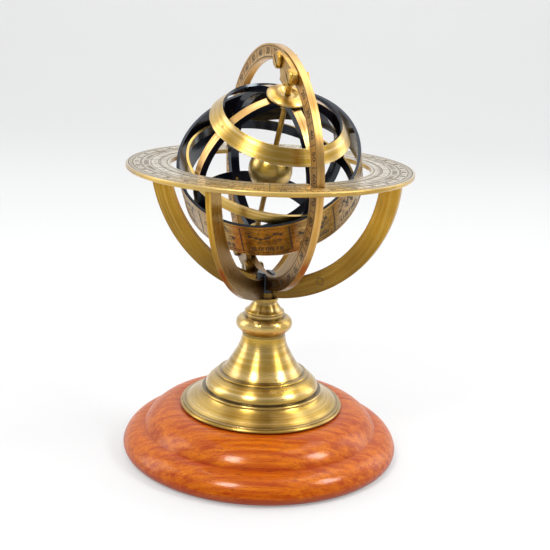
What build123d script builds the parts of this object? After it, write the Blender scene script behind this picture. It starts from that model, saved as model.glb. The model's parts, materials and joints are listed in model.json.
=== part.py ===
from build123d import *
import os
from math import atan2, cos, degrees, radians, sin, sqrt

# Armillary sphere on a turned wooden base. Millimetres, +Z up.
# The origin is on the surface the base stands on, under the middle of the base.
# Azimuths are degrees about +Z from +X.

# ---- driving dimensions ----

HORIZON_R = 63.5            # horizon ring, outer radius
HORIZON_BORE_R = 44.4       # horizon ring, inner radius
HORIZON_T = 2.0             # horizon ring, thickness
CENTRE_Z = 133.2            # height of the sphere's centre, level with the horizon ring's underside

MERIDIAN_AZ = -68.0         # azimuth of the meridian ring's plane
MERIDIAN_R = 54.3           # meridian ring, outer radius
MERIDIAN_BORE_R = 47.7      # meridian ring, inner radius
MERIDIAN_T = 3.2            # meridian ring, thickness
POLE_LEAN = 24.5            # lean of the polar axis from upright, in the meridian plane

ARM_AZ = -23.5              # azimuth of cradle arm a; arm b is square to it
ARM_R = 60.6                # cradle arm, outer radius
ARM_BORE_R = 51.4           # cradle arm, inner radius
ARM_T = 2.5                 # cradle arm, thickness
ARM_CENTRE_Z = 135.2        # height of the arms' own centre

ROD_R = 1.2                 # polar rod
BALL_R = 9.8                # earth ball
COLURE_R = 36.6             # colure hoops, outer radius
COLURE_T = 3.2              # colure hoops, thickness
COLURE_W = 4.2              # colure hoops, width
COLURE_LON = 9.0            # colure a's turn about the polar axis, from the meridian plane
BAND_T = 1.2                # equator and tropic bands, thickness
EQUATOR_W = 4.6             # equator band, width
TROPIC_LOW = (30.9, 22.3)   # tropic band, outer low edge: distance from the axis and from the equator
TROPIC_HIGH = (26.1, 28.0)  # tropic band, outer high edge
ZODIAC_R = 40.4             # zodiac band, outer radius
ZODIAC_T = 1.3              # zodiac band, thickness
ZODIAC_W = 19.4             # zodiac band, width
ZODIAC_LEAN = 23.5          # lean of the zodiac band from the equator
ZODIAC_LON = -66.0          # side that the zodiac's axis leans to, about the polar axis
DISC_R = 8.9                # polar disc

BASE_R = 64.0               # wooden base, radius at the top of its foot rounding
BASE_TOP_Z = 22.3           # wooden base, height of its top
FOOT_R = 37.7               # brass pedestal, foot radius
BELL_TOP_Z = 58.0           # brass pedestal, height of its top
SHELL_T = 2.0               # brass pedestal, wall thickness
COLLAR_TOP_Z = 67.4         # bead collar, height of its top
SPOOL_TOP_Z = 74.6          # neck spool, height of its top: the arms' underside

SLIDE_GAP = 0.05            # running clearance on each side of the meridian ring in the fork
SPIN_GAP = 0.05             # radial clearance of the discs on the polar rod

os.makedirs("parts", exist_ok=True)


def finish(part, name):
    """Labels a finished piece and writes its file."""
    part.label = name
    export_step(part, f"parts/{name}.step")


def upright_plane(azimuth, height):
    """A vertical plane: its x runs along the azimuth, its y runs up."""
    along = Vector(cos(radians(azimuth)), sin(radians(azimuth)), 0)
    return Plane(origin=(0, 0, height), x_dir=along, z_dir=along.cross(Vector(0, 0, 1)))


# ---- frames of the sphere ----

CENTRE = Vector(0, 0, CENTRE_Z)
MERIDIAN = upright_plane(MERIDIAN_AZ, CENTRE_Z)
UP = Vector(0, 0, 1)
POLE = MERIDIAN.x_dir * sin(radians(POLE_LEAN)) + UP * cos(radians(POLE_LEAN))
FRONT = MERIDIAN.x_dir * cos(radians(POLE_LEAN)) - UP * sin(radians(POLE_LEAN))
SPHERE = Plane(origin=CENTRE, x_dir=FRONT, z_dir=POLE)
POLAR_AXIS = Axis(CENTRE, POLE)


def sphere_direction(latitude, longitude):
    """The direction of a point on the sphere, from its centre."""
    flat = cos(radians(latitude))
    side = SPHERE.x_dir * cos(radians(longitude)) + SPHERE.y_dir * sin(radians(longitude))
    return side * flat + POLE * sin(radians(latitude))


ZODIAC_AXIS = sphere_direction(90 - ZODIAC_LEAN, ZODIAC_LON)
ZODIAC = Plane(origin=CENTRE, x_dir=POLE.cross(ZODIAC_AXIS), z_dir=ZODIAC_AXIS)


def radial_plane(direction, reach):
    """A plane across a radius of the sphere, at a distance from the centre."""
    return Plane(origin=CENTRE + direction * reach, z_dir=direction)


def half_plane(axis, reference):
    """A plane that holds an axis: its x runs square to the axis, its y along it."""
    return Plane(origin=CENTRE, x_dir=reference, z_dir=reference.cross(axis))


# ---- stand: felt, wooden base and its fixings ----

FELT_R = 56.0
FELT_T = 1.5
WOOD_BOTTOM_Z = 0.5
TIE_R = 2.5
TIE_BORE_R = 2.6
POCKET_R = 9.0
POCKET_Z = 8.0
WASHER_R = 7.5
WASHER_T = 1.2
NUT_FLAT_R = 4.0
NUT_T = 4.0
GROOVE = (54.3, 12.8)       # groove between the base's two tiers: radius and height

with BuildPart() as base_felt:
    with BuildSketch():
        Circle(FELT_R)
    extrude(amount=FELT_T)
finish(base_felt.part, "base_felt")

with BuildPart() as wooden_base:
    with BuildSketch(Plane.XZ):
        with BuildLine():
            Line((0, WOOD_BOTTOM_Z), (BASE_R - 2.6, WOOD_BOTTOM_Z))
            ThreePointArc((BASE_R - 2.6, WOOD_BOTTOM_Z), (BASE_R - 0.5, 2.2), (BASE_R, 4.8))
            ThreePointArc((BASE_R, 4.8), (60.3, 10.4), GROOVE)
            ThreePointArc(GROOVE, (50.2, 18.2), (41.0, BASE_TOP_Z))
            Line((41.0, BASE_TOP_Z), (0, BASE_TOP_Z))
            Line((0, BASE_TOP_Z), (0, WOOD_BOTTOM_Z))
        make_face()
    revolve(axis=Axis.Z)
    with BuildSketch(Plane.XY.offset(WOOD_BOTTOM_Z)):
        Circle(FELT_R)
    extrude(amount=FELT_T - WOOD_BOTTOM_Z, mode=Mode.SUBTRACT)
    with BuildSketch(Plane.XY.offset(FELT_T)):
        Circle(POCKET_R)
    extrude(amount=POCKET_Z - FELT_T, mode=Mode.SUBTRACT)
    with BuildSketch(Plane.XY.offset(POCKET_Z)):
        Circle(TIE_BORE_R)
    extrude(amount=BASE_TOP_Z - POCKET_Z, mode=Mode.SUBTRACT)
finish(wooden_base.part, "wooden_base")

with BuildPart() as base_washer:
    with BuildSketch(Plane.XY.offset(POCKET_Z - WASHER_T)):
        Circle(WASHER_R)
        Circle(TIE_BORE_R, mode=Mode.SUBTRACT)
    extrude(amount=WASHER_T)
finish(base_washer.part, "base_washer")

NUT_TOP_Z = POCKET_Z - WASHER_T
with BuildPart() as base_nut:
    with BuildSketch(Plane.XY.offset(NUT_TOP_Z - NUT_T)):
        RegularPolygon(NUT_FLAT_R, 6, major_radius=False)
        Circle(TIE_R, mode=Mode.SUBTRACT)
    extrude(amount=NUT_T)
finish(base_nut.part, "base_nut")

# ---- stand: hollow bell pedestal, bead collar and neck spool ----

BELL_NECK_R = 10.0
BELL_WAIST_R = 20.2
BELL_WAIST_Z = 38.6
STEP_R = 26.8
STEP_Z = 31.4
FOOT_TOP_Z = 24.6

with BuildPart() as pedestal_bell:
    with BuildSketch(Plane.XZ):
        with BuildLine():
            Line((0, BASE_TOP_Z), (FOOT_R - 0.8, BASE_TOP_Z))
            ThreePointArc(
                (FOOT_R - 0.8, BASE_TOP_Z),
                (FOOT_R, BASE_TOP_Z + 0.9),
                (FOOT_R - 0.7, BASE_TOP_Z + 1.8),
            )
            Line((FOOT_R - 0.7, BASE_TOP_Z + 1.8), (FOOT_R - 1.2, BASE_TOP_Z + 1.8))
            Line((FOOT_R - 1.2, BASE_TOP_Z + 1.8), (FOOT_R - 1.2, FOOT_TOP_Z))
            Spline(
                (FOOT_R - 1.2, FOOT_TOP_Z),
                (33.6, 26.0),
                (STEP_R + 0.9, STEP_Z - 1.7),
                tangents=((-1, 0.06), (-0.7, 1)),
            )
            ThreePointArc(
                (STEP_R + 0.9, STEP_Z - 1.7),
                (STEP_R + 1.2, STEP_Z - 0.9),
                (STEP_R + 0.4, STEP_Z - 0.3),
            )
            Line((STEP_R + 0.4, STEP_Z - 0.3), (STEP_R - 0.6, STEP_Z - 0.3))
            Line((STEP_R - 0.6, STEP_Z - 0.3), (STEP_R - 0.6, STEP_Z + 0.2))
            Spline(
                (STEP_R - 0.6, STEP_Z + 0.2),
                (24.9, 34.8),
                (BELL_WAIST_R + 0.7, BELL_WAIST_Z - 0.9),
                tangents=((0.1, 1), (-1, 0.5)),
            )
            ThreePointArc(
                (BELL_WAIST_R + 0.7, BELL_WAIST_Z - 0.9),
                (BELL_WAIST_R + 0.9, BELL_WAIST_Z - 0.3),
                (BELL_WAIST_R + 0.3, BELL_WAIST_Z),
            )
            Line((BELL_WAIST_R + 0.3, BELL_WAIST_Z), (BELL_WAIST_R - 0.7, BELL_WAIST_Z + 0.1))
            Spline(
                (BELL_WAIST_R - 0.7, BELL_WAIST_Z + 0.1),
                (13.3, 47.4),
                (BELL_NECK_R, 56.8),
                tangents=((-1, 0.9), (-0.05, 1)),
            )
            Line((BELL_NECK_R, 56.8), (BELL_NECK_R, BELL_TOP_Z))
            Line((BELL_NECK_R, BELL_TOP_Z), (0, BELL_TOP_Z))
            Line((0, BELL_TOP_Z), (0, BASE_TOP_Z))
        make_face()
    revolve(axis=Axis.Z)
    with BuildSketch(Plane.XZ):
        with BuildLine():
            Polyline(
                (0, BASE_TOP_Z),
                (FOOT_R - 4.0, BASE_TOP_Z),
                (STEP_R - 2.6, STEP_Z - 2.8),
                (BELL_WAIST_R - 1.6, BELL_WAIST_Z - 3.0),
                (BELL_NECK_R + 1.2, 47.4),
                (BELL_NECK_R - SHELL_T, BELL_TOP_Z - 2.2),
                (0, BELL_TOP_Z - 2.2),
                close=True,
            )
        make_face()
    revolve(axis=Axis.Z, mode=Mode.SUBTRACT)
    with BuildSketch(Plane.XY.offset(BELL_TOP_Z - 2.2)):
        Circle(TIE_BORE_R)
    extrude(amount=2.2, mode=Mode.SUBTRACT)
finish(pedestal_bell.part, "pedestal_bell")

BEAD_R = 13.0
BEAD_Z = 62.2
BEAD_TUBE_R = 3.4
RIM_R = 8.9                 # collar's plain rim under the spool

with BuildPart() as bead_collar:
    with BuildSketch(Plane.XZ):
        with BuildLine():
            Line((0, BELL_TOP_Z), (9.8, BELL_TOP_Z))
            Line((9.8, BELL_TOP_Z), (10.4, BEAD_Z - BEAD_TUBE_R + 0.1))
            ThreePointArc(
                (10.4, BEAD_Z - BEAD_TUBE_R + 0.1),
                (BEAD_R, BEAD_Z),
                (10.4, BEAD_Z + BEAD_TUBE_R - 0.1),
            )
            Line((10.4, BEAD_Z + BEAD_TUBE_R - 0.1), (RIM_R, BEAD_Z + BEAD_TUBE_R - 0.1))
            Line((RIM_R, BEAD_Z + BEAD_TUBE_R - 0.1), (RIM_R, COLLAR_TOP_Z - 0.3))
            Line((RIM_R, COLLAR_TOP_Z - 0.3), (RIM_R - 0.3, COLLAR_TOP_Z))
            Line((RIM_R - 0.3, COLLAR_TOP_Z), (0, COLLAR_TOP_Z))
            Line((0, COLLAR_TOP_Z), (0, BELL_TOP_Z))
        make_face()
    revolve(axis=Axis.Z)
    with BuildSketch(Plane.XY.offset(BELL_TOP_Z)):
        Circle(TIE_BORE_R)
    extrude(amount=COLLAR_TOP_Z - BELL_TOP_Z, mode=Mode.SUBTRACT)
finish(bead_collar.part, "bead_collar")

SPOOL_FOOT_R = 9.1
SPOOL_NECK_R = 5.5
SPOOL_HEAD_R = 6.1
STEM_R = 1.6
TIE_TOP_Z = 70.0
STEM_BOTTOM_Z = 70.4

with BuildPart() as neck_spool:
    with BuildSketch(Plane.XZ):
        with BuildLine():
            Line((0, COLLAR_TOP_Z), (SPOOL_FOOT_R - 0.3, COLLAR_TOP_Z))
            ThreePointArc(
                (SPOOL_FOOT_R - 0.3, COLLAR_TOP_Z),
                (SPOOL_FOOT_R, COLLAR_TOP_Z + 0.5),
                (SPOOL_FOOT_R - 0.3, COLLAR_TOP_Z + 1.0),
            )
            Spline(
                (SPOOL_FOOT_R - 0.3, COLLAR_TOP_Z + 1.0),
                (6.6, 70.6),
                (SPOOL_NECK_R, 72.8),
                tangents=((-1, 0.5), (-0.15, 1)),
            )
            Line((SPOOL_NECK_R, 72.8), (SPOOL_HEAD_R, 73.3))
            Line((SPOOL_HEAD_R, 73.3), (SPOOL_HEAD_R, SPOOL_TOP_Z))
            Line((SPOOL_HEAD_R, SPOOL_TOP_Z), (0, SPOOL_TOP_Z))
            Line((0, SPOOL_TOP_Z), (0, COLLAR_TOP_Z))
        make_face()
    revolve(axis=Axis.Z)
    with BuildSketch(Plane.XY.offset(COLLAR_TOP_Z)):
        Circle(TIE_R)
    extrude(amount=STEM_BOTTOM_Z - COLLAR_TOP_Z, mode=Mode.SUBTRACT)
    with BuildSketch(Plane.XY.offset(STEM_BOTTOM_Z)):
        Circle(STEM_R)
    extrude(amount=SPOOL_TOP_Z - STEM_BOTTOM_Z, mode=Mode.SUBTRACT)
finish(neck_spool.part, "neck_spool")

TIE_BOTTOM_Z = 2.0

with BuildPart() as tie_rod:
    with BuildSketch(Plane.XY.offset(TIE_BOTTOM_Z)):
        Circle(TIE_R)
    extrude(amount=TIE_TOP_Z - TIE_BOTTOM_Z)
finish(tie_rod.part, "tie_rod")

# ---- stand: cradle arms, fork and horizon ring ----

LAP_Z = 75.9                # height where the two arms' pads meet
FORK_SEAT_Z = 77.2          # height of the upper pad's top, which the fork stands on
FORK_R = 4.3
FORK_TOP_Z = 86.2
SLOT_BOTTOM_Z = CENTRE_Z - MERIDIAN_R - 0.1
HUB_R = 4.6
SCREW_R = 0.8
SCREW_HEAD_R = 1.5
SCREW_Z = CENTRE_Z + HORIZON_T
ARM_SCREW_R = (ARM_R + ARM_BORE_R) / 2


def cradle_arm(azimuth, pad_low, pad_high):
    """A half hoop under the horizon ring, with a thin round pad where the other arm crosses it."""
    plane = upright_plane(azimuth, ARM_CENTRE_Z)
    with BuildPart() as arm:
        with BuildSketch(plane) as hoop:
            Circle(ARM_R)
            Circle(ARM_BORE_R, mode=Mode.SUBTRACT)
        extrude(hoop.sketch, amount=ARM_T / 2, both=True)
        with BuildSketch(Plane.XY.offset(CENTRE_Z)) as above:
            Circle(2 * ARM_R)
        extrude(above.sketch, amount=2 * ARM_R, mode=Mode.SUBTRACT)
        with BuildSketch(Plane.XY.offset(SPOOL_TOP_Z)) as hub_cut:
            Circle(HUB_R)
        extrude(hub_cut.sketch, amount=ARM_R / 2, mode=Mode.SUBTRACT)
        with BuildSketch(Plane.XY.offset(pad_low)) as pad:
            Circle(HUB_R)
            Circle(STEM_R, mode=Mode.SUBTRACT)
        extrude(pad.sketch, amount=pad_high - pad_low)
        for end in (azimuth, azimuth + 180):
            spot = (ARM_SCREW_R * cos(radians(end)), ARM_SCREW_R * sin(radians(end)), CENTRE_Z)
            with BuildSketch(Plane(origin=spot)) as screw_hole:
                Circle(SCREW_R)
            extrude(screw_hole.sketch, amount=-5.0, mode=Mode.SUBTRACT)
    return arm.part


finish(cradle_arm(ARM_AZ, LAP_Z, FORK_SEAT_Z), "cradle_arm_a")
finish(cradle_arm(ARM_AZ - 90, SPOOL_TOP_Z, LAP_Z), "cradle_arm_b")

with BuildPart() as meridian_fork:
    with BuildSketch(Plane.XY.offset(FORK_SEAT_Z)):
        Circle(FORK_R)
    extrude(amount=FORK_TOP_Z - FORK_SEAT_Z)
    chamfer(meridian_fork.edges().group_by(Axis.Z)[-1], 0.4)
    with BuildSketch(Plane.XY.offset(STEM_BOTTOM_Z)):
        Circle(STEM_R)
    extrude(amount=FORK_SEAT_Z - STEM_BOTTOM_Z)
    with BuildSketch(Plane.XY.offset(SLOT_BOTTOM_Z).rotated((0, 0, MERIDIAN_AZ))):
        Rectangle(4 * FORK_R, MERIDIAN_T + 2 * SLIDE_GAP)
    extrude(amount=FORK_TOP_Z, mode=Mode.SUBTRACT)
finish(meridian_fork.part, "meridian_fork")

RING_NOTCH_W = MERIDIAN_T + 0.4
RING_NOTCH_REACH = MERIDIAN_R + 0.4
ARM_ENDS = [ARM_AZ + 90 * turn for turn in range(4)]

with BuildPart() as horizon_ring:
    with BuildSketch(Plane.XY.offset(CENTRE_Z).rotated((0, 0, MERIDIAN_AZ))):
        Circle(HORIZON_R)
        Circle(HORIZON_BORE_R, mode=Mode.SUBTRACT)
        Rectangle(2 * RING_NOTCH_REACH, RING_NOTCH_W, mode=Mode.SUBTRACT)
    extrude(amount=HORIZON_T)
    chamfer(horizon_ring.edges().filter_by(GeomType.CIRCLE).group_by(SortBy.RADIUS)[-1], 0.3)
    with Locations(Plane.XY.offset(SCREW_Z)):
        with PolarLocations(ARM_SCREW_R, 4, start_angle=ARM_AZ):
            CounterSinkHole(SCREW_R, SCREW_HEAD_R, depth=HORIZON_T, counter_sink_angle=90)
finish(horizon_ring.part, "horizon_ring")

with BuildPart() as arm_screws:
    with Locations(Plane.XY.offset(SCREW_Z)):
        with PolarLocations(ARM_SCREW_R, 4, start_angle=ARM_AZ):
            Cylinder(SCREW_R, HORIZON_T + 4.6, align=(Align.CENTER, Align.CENTER, Align.MAX))
            Cone(
                SCREW_R,
                SCREW_HEAD_R,
                SCREW_HEAD_R - SCREW_R,
                align=(Align.CENTER, Align.CENTER, Align.MAX),
            )
finish(arm_screws.part, "arm_screws")

# ---- meridian: ring, brackets with their screws and nuts, polar rod and ball ----

BRACKET_W = 6.2             # bracket plate, width across the ring
BRACKET_T = 2.4             # bracket plate, thickness
BOSS_LOW_R = 43.4           # bracket boss, nearest and farthest reach from the centre
BOSS_HIGH_R = 47.5
BOSS_R = 2.7
NECK_HALF = 4.6             # half width of the bracket's neck where it leaves the plate
SCREW_ANGLE = 8.3           # angle between a bracket screw and the polar axis
BRACKET_SCREW_R = 1.1
BRACKET_HEAD_R = 3.7
BRACKET_HEAD_T = 1.7
BRACKET_NUT_T = 1.8
NUT_HALF_FLAT = 2.3
SCREW_TAIL = 0.6
SCREW_RING_R = 50.6         # reach of the bracket screws from the centre
DRIVER_TURN = 35            # turn of the screwdriver slots
ROD_HALF = 46.8
SCREW_ANGLES = [turn + side * SCREW_ANGLE for turn in (0, 180) for side in (-1, 1)]


def meridian_spot(angle_from_pole, reach):
    """A point of the meridian plane, in that plane's own x and y."""
    lean = radians(POLE_LEAN + angle_from_pole)
    return (reach * sin(lean), reach * cos(lean))


SCREW_SPOTS = [meridian_spot(angle, SCREW_RING_R) for angle in SCREW_ANGLES]

with BuildPart() as meridian_ring:
    with BuildSketch(MERIDIAN):
        Circle(MERIDIAN_R)
        Circle(MERIDIAN_BORE_R, mode=Mode.SUBTRACT)
        with Locations(*SCREW_SPOTS):
            Circle(BRACKET_SCREW_R, mode=Mode.SUBTRACT)
    extrude(amount=MERIDIAN_T / 2, both=True)
finish(meridian_ring.part, "meridian_ring")

BACK_Z = -(MERIDIAN_T / 2)              # the ring's plain face, in the meridian plane's own z
FRONT_Z = MERIDIAN_T / 2                # the ring's face that carries the scale
PLATE_Z = FRONT_Z + BRACKET_T


def pole_frame(turn, height):
    """A plane across the meridian's thickness: its y runs from the centre towards one pole."""
    towards = POLE if turn == 0 else -POLE
    return Plane(
        origin=CENTRE + MERIDIAN.z_dir * height,
        x_dir=towards.cross(MERIDIAN.z_dir),
        z_dir=MERIDIAN.z_dir,
    )


def pole_bracket(turn):
    """A plate on the ring's scale face with a boss that holds one end of the polar rod."""
    with BuildPart() as bracket:
        with BuildSketch(pole_frame(turn, FRONT_Z)) as plate:
            with BuildLine(mode=Mode.PRIVATE) as spine:
                CenterArc((0, 0), SCREW_RING_R, 90 - SCREW_ANGLE, 2 * SCREW_ANGLE)
            SlotArc(spine.edge(), height=BRACKET_W)
            with BuildLine():
                Polyline(
                    (-NECK_HALF, SCREW_RING_R),
                    (NECK_HALF, SCREW_RING_R),
                    (NECK_HALF, SCREW_RING_R - BRACKET_W / 2),
                    (BOSS_R, BOSS_LOW_R + 1.6),
                    (BOSS_R, BOSS_LOW_R),
                    (-BOSS_R, BOSS_LOW_R),
                    (-BOSS_R, BOSS_LOW_R + 1.6),
                    (-NECK_HALF, SCREW_RING_R - BRACKET_W / 2),
                    close=True,
                )
            make_face()
        extrude(plate.sketch, amount=BRACKET_T)
        towards = POLE if turn == 0 else -POLE
        with BuildSketch(radial_plane(towards, BOSS_LOW_R)) as boss:
            Circle(BOSS_R)
        extrude(boss.sketch, amount=BOSS_HIGH_R - BOSS_LOW_R)
        with BuildSketch(radial_plane(towards, BOSS_LOW_R)) as bore:
            Circle(ROD_R)
        extrude(bore.sketch, amount=ROD_HALF - BOSS_LOW_R, mode=Mode.SUBTRACT)
        with BuildSketch(MERIDIAN.offset(FRONT_Z)) as screw_holes:
            with Locations(*SCREW_SPOTS):
                Circle(BRACKET_SCREW_R)
        extrude(screw_holes.sketch, amount=BRACKET_T, mode=Mode.SUBTRACT)
    return bracket.part


finish(pole_bracket(0), "north_bracket")
finish(pole_bracket(180), "south_bracket")

DOME_R = 1.1                # rounding of a bracket screw head
MERIDIAN_NORMAL = Axis(CENTRE, MERIDIAN.z_dir)
DRIVER_W = 0.9              # screwdriver slot, width and depth
DRIVER_DEPTH = 0.9

with BuildPart() as bracket_screws:
    with BuildSketch(MERIDIAN.offset(PLATE_Z)):
        with Locations(*SCREW_SPOTS):
            Circle(BRACKET_HEAD_R)
    extrude(amount=BRACKET_HEAD_T)
    fillet(bracket_screws.edges().filter_by(GeomType.CIRCLE).group_by(MERIDIAN_NORMAL)[-1], DOME_R)
    with BuildSketch(MERIDIAN.offset(PLATE_Z + BRACKET_HEAD_T)):
        with Locations(*SCREW_SPOTS):
            Rectangle(DRIVER_W, 3 * BRACKET_HEAD_R, rotation=DRIVER_TURN)
    extrude(amount=-DRIVER_DEPTH, mode=Mode.SUBTRACT)
    with BuildSketch(MERIDIAN.offset(PLATE_Z)):
        with Locations(*SCREW_SPOTS):
            Circle(BRACKET_SCREW_R)
    extrude(amount=-(PLATE_Z - BACK_Z + BRACKET_NUT_T + SCREW_TAIL))
finish(bracket_screws.part, "bracket_screws")

with BuildPart() as bracket_nuts:
    with BuildSketch(MERIDIAN.offset(BACK_Z)):
        with Locations(*SCREW_SPOTS):
            RegularPolygon(NUT_HALF_FLAT, 6, major_radius=False)
            Circle(BRACKET_SCREW_R, mode=Mode.SUBTRACT)
    extrude(amount=-BRACKET_NUT_T)
finish(bracket_nuts.part, "bracket_nuts")

with BuildPart() as polar_rod:
    with BuildSketch(SPHERE):
        Circle(ROD_R)
    extrude(amount=ROD_HALF, both=True)
finish(polar_rod.part, "polar_rod")

with BuildPart() as earth_ball:
    with BuildSketch(half_plane(POLE, FRONT)):
        with BuildLine():
            CenterArc((0, 0), BALL_R, -90, 180)
            Line((0, -BALL_R), (0, BALL_R))
        make_face()
    revolve(axis=POLAR_AXIS)
    with BuildSketch(SPHERE):
        Circle(ROD_R)
    extrude(amount=2 * BALL_R, both=True, mode=Mode.SUBTRACT)
finish(earth_ball.part, "earth_ball")

# ---- sphere: colures, bands, polar discs and rivets ----

COLURE_BORE_R = COLURE_R - COLURE_T
LAP_R = COLURE_R - COLURE_T / 2         # reach of the faces where the colures are halved together
POLE_HOLE_R = ROD_R + 0.15
BAND_BORE_R = COLURE_R + 0.1
BAND_R = BAND_BORE_R + BAND_T
TROPIC_SLANT = sqrt((TROPIC_LOW[0] - TROPIC_HIGH[0]) ** 2 + (TROPIC_HIGH[1] - TROPIC_LOW[1]) ** 2)
TROPIC_IN = (
    -BAND_T * (TROPIC_HIGH[1] - TROPIC_LOW[1]) / TROPIC_SLANT,
    -BAND_T * (TROPIC_LOW[0] - TROPIC_HIGH[0]) / TROPIC_SLANT,
)
TROPIC_MID = ((TROPIC_LOW[0] + TROPIC_HIGH[0]) / 2, (TROPIC_LOW[1] + TROPIC_HIGH[1]) / 2)
TROPIC_REACH = sqrt(TROPIC_MID[0] ** 2 + TROPIC_MID[1] ** 2)
TROPIC_LATITUDE = degrees(atan2(TROPIC_MID[1], TROPIC_MID[0]))
ZODIAC_BORE_R = ZODIAC_R - ZODIAC_T
RIVET_R = 0.7
RIVET_SINK = 0.02           # how far a rivet's dressed end lies below the band's face
SHOULDER_R = 1.2

COLURE_LONS = [COLURE_LON, COLURE_LON + 90]
EQUATOR_RIVETS = [sphere_direction(0, COLURE_LON + 90 * turn) for turn in range(4)]
NORTH_RIVETS = [sphere_direction(TROPIC_LATITUDE, COLURE_LON + 90 * turn) for turn in range(4)]
SOUTH_RIVETS = [sphere_direction(-TROPIC_LATITUDE, COLURE_LON + 90 * turn) for turn in range(4)]


def colure_normal(longitude):
    """The direction square to a colure's plane."""
    return sphere_direction(0, longitude).cross(POLE)


ZODIAC_RIVETS = []
for lon in COLURE_LONS:
    crossing = colure_normal(lon).cross(ZODIAC_AXIS).normalized()
    ZODIAC_RIVETS.append(crossing)
    ZODIAC_RIVETS.append(-crossing)


ALL_RIVETS = EQUATOR_RIVETS + NORTH_RIVETS + SOUTH_RIVETS + ZODIAC_RIVETS


def drill(directions, radius, start, end):
    """Cuts radial holes in the part being built."""
    for direction in directions:
        with BuildSketch(radial_plane(direction, start)) as hole:
            Circle(radius)
        extrude(hole.sketch, amount=end - start, mode=Mode.SUBTRACT)


def stud(directions, radius, start, end):
    """Adds radial pins to the part being built."""
    for direction in directions:
        with BuildSketch(radial_plane(direction, start)) as pin:
            Circle(radius)
        extrude(pin.sketch, amount=end - start)


def colure(longitude, lap_start, lap_end):
    """A hoop through both poles, halved where the other hoop crosses it."""
    with BuildPart() as hoop:
        with BuildSketch(half_plane(POLE, sphere_direction(0, longitude))) as outline:
            Circle(COLURE_R)
            Circle(COLURE_BORE_R, mode=Mode.SUBTRACT)
        extrude(outline.sketch, amount=COLURE_W / 2, both=True)
        for side in (1, -1):
            lap_middle = CENTRE + POLE * (side * lap_start)
            lap_frame = Plane(origin=lap_middle, x_dir=sphere_direction(0, longitude), z_dir=POLE)
            with BuildSketch(lap_frame) as lap:
                Rectangle(COLURE_W, 3 * COLURE_W)
            extrude(lap.sketch, amount=side * (lap_end - lap_start), mode=Mode.SUBTRACT)
        with BuildSketch(SPHERE) as pole_hole:
            Circle(POLE_HOLE_R)
        extrude(pole_hole.sketch, amount=2 * COLURE_R, both=True, mode=Mode.SUBTRACT)
        drill(ALL_RIVETS, RIVET_R, COLURE_BORE_R - 1, BAND_R)
    return hoop.part


finish(colure(COLURE_LONS[0], LAP_R, COLURE_R + 1), "colure_a")
finish(colure(COLURE_LONS[1], COLURE_BORE_R - 1, LAP_R), "colure_b")

with BuildPart() as equator_band:
    with BuildSketch(SPHERE):
        Circle(BAND_R)
        Circle(BAND_BORE_R, mode=Mode.SUBTRACT)
    extrude(amount=EQUATOR_W / 2, both=True)
    drill(EQUATOR_RIVETS, RIVET_R, COLURE_R, BAND_R + 1)
finish(equator_band.part, "equator_band")


def tropic_band(side, rivets):
    """A conical band; side is 1 north of the equator and -1 south of it."""
    with BuildPart() as band:
        with BuildSketch(half_plane(POLE, FRONT)) as profile:
            with BuildLine():
                Polyline(
                    (TROPIC_LOW[0], side * TROPIC_LOW[1]),
                    (TROPIC_HIGH[0], side * TROPIC_HIGH[1]),
                    (TROPIC_HIGH[0] + TROPIC_IN[0], side * (TROPIC_HIGH[1] + TROPIC_IN[1])),
                    (TROPIC_LOW[0] + TROPIC_IN[0], side * (TROPIC_LOW[1] + TROPIC_IN[1])),
                    close=True,
                )
            make_face()
        revolve(profile.sketch, axis=POLAR_AXIS)
        drill(rivets, RIVET_R, COLURE_R, TROPIC_REACH + 1)
    return band.part


finish(tropic_band(1, NORTH_RIVETS), "tropic_band_north")
finish(tropic_band(-1, SOUTH_RIVETS), "tropic_band_south")

with BuildPart() as zodiac_band:
    with BuildSketch(ZODIAC):
        Circle(ZODIAC_R)
        Circle(ZODIAC_BORE_R, mode=Mode.SUBTRACT)
    extrude(amount=ZODIAC_W / 2, both=True)
    drill(ZODIAC_RIVETS, RIVET_R, BAND_R, ZODIAC_R + 1)
finish(zodiac_band.part, "zodiac_band")

DISC_RIM_T = 0.8            # polar disc, thickness of its rim
DISC_CROWN_R = 5.4          # polar disc, radius and height of its raised crown
DISC_CROWN_T = 2.3
DISC_DISH_R = 3.0           # polar disc, radius and floor height of the dish round the rod
DISC_DISH_T = 1.2


def polar_disc(side):
    """A domed disc with a dish in its middle, on the colures at one pole."""
    with BuildPart() as disc:
        with BuildSketch(half_plane(POLE, FRONT)) as profile:
            with BuildLine():
                Polyline(
                    (ROD_R + SPIN_GAP, side * (COLURE_R + DISC_DISH_T)),
                    (ROD_R + SPIN_GAP, side * COLURE_R),
                    (DISC_R, side * COLURE_R),
                    (DISC_R, side * (COLURE_R + DISC_RIM_T)),
                )
                ThreePointArc(
                    (DISC_R, side * (COLURE_R + DISC_RIM_T)),
                    (DISC_CROWN_R + 2.0, side * (COLURE_R + DISC_RIM_T + 1.0)),
                    (DISC_CROWN_R, side * (COLURE_R + DISC_CROWN_T)),
                )
                Polyline(
                    (DISC_CROWN_R, side * (COLURE_R + DISC_CROWN_T)),
                    (DISC_CROWN_R - 0.8, side * (COLURE_R + DISC_CROWN_T)),
                    (DISC_DISH_R, side * (COLURE_R + DISC_DISH_T)),
                    (ROD_R + SPIN_GAP, side * (COLURE_R + DISC_DISH_T)),
                )
            make_face()
        revolve(profile.sketch, axis=POLAR_AXIS)
    return disc.part


finish(polar_disc(1), "polar_disc_north")
finish(polar_disc(-1), "polar_disc_south")

POLE_WASHER_R = 3.4
POLE_WASHER_T = 0.8
POLE_WASHER_REACH = COLURE_BORE_R - 0.2

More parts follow.
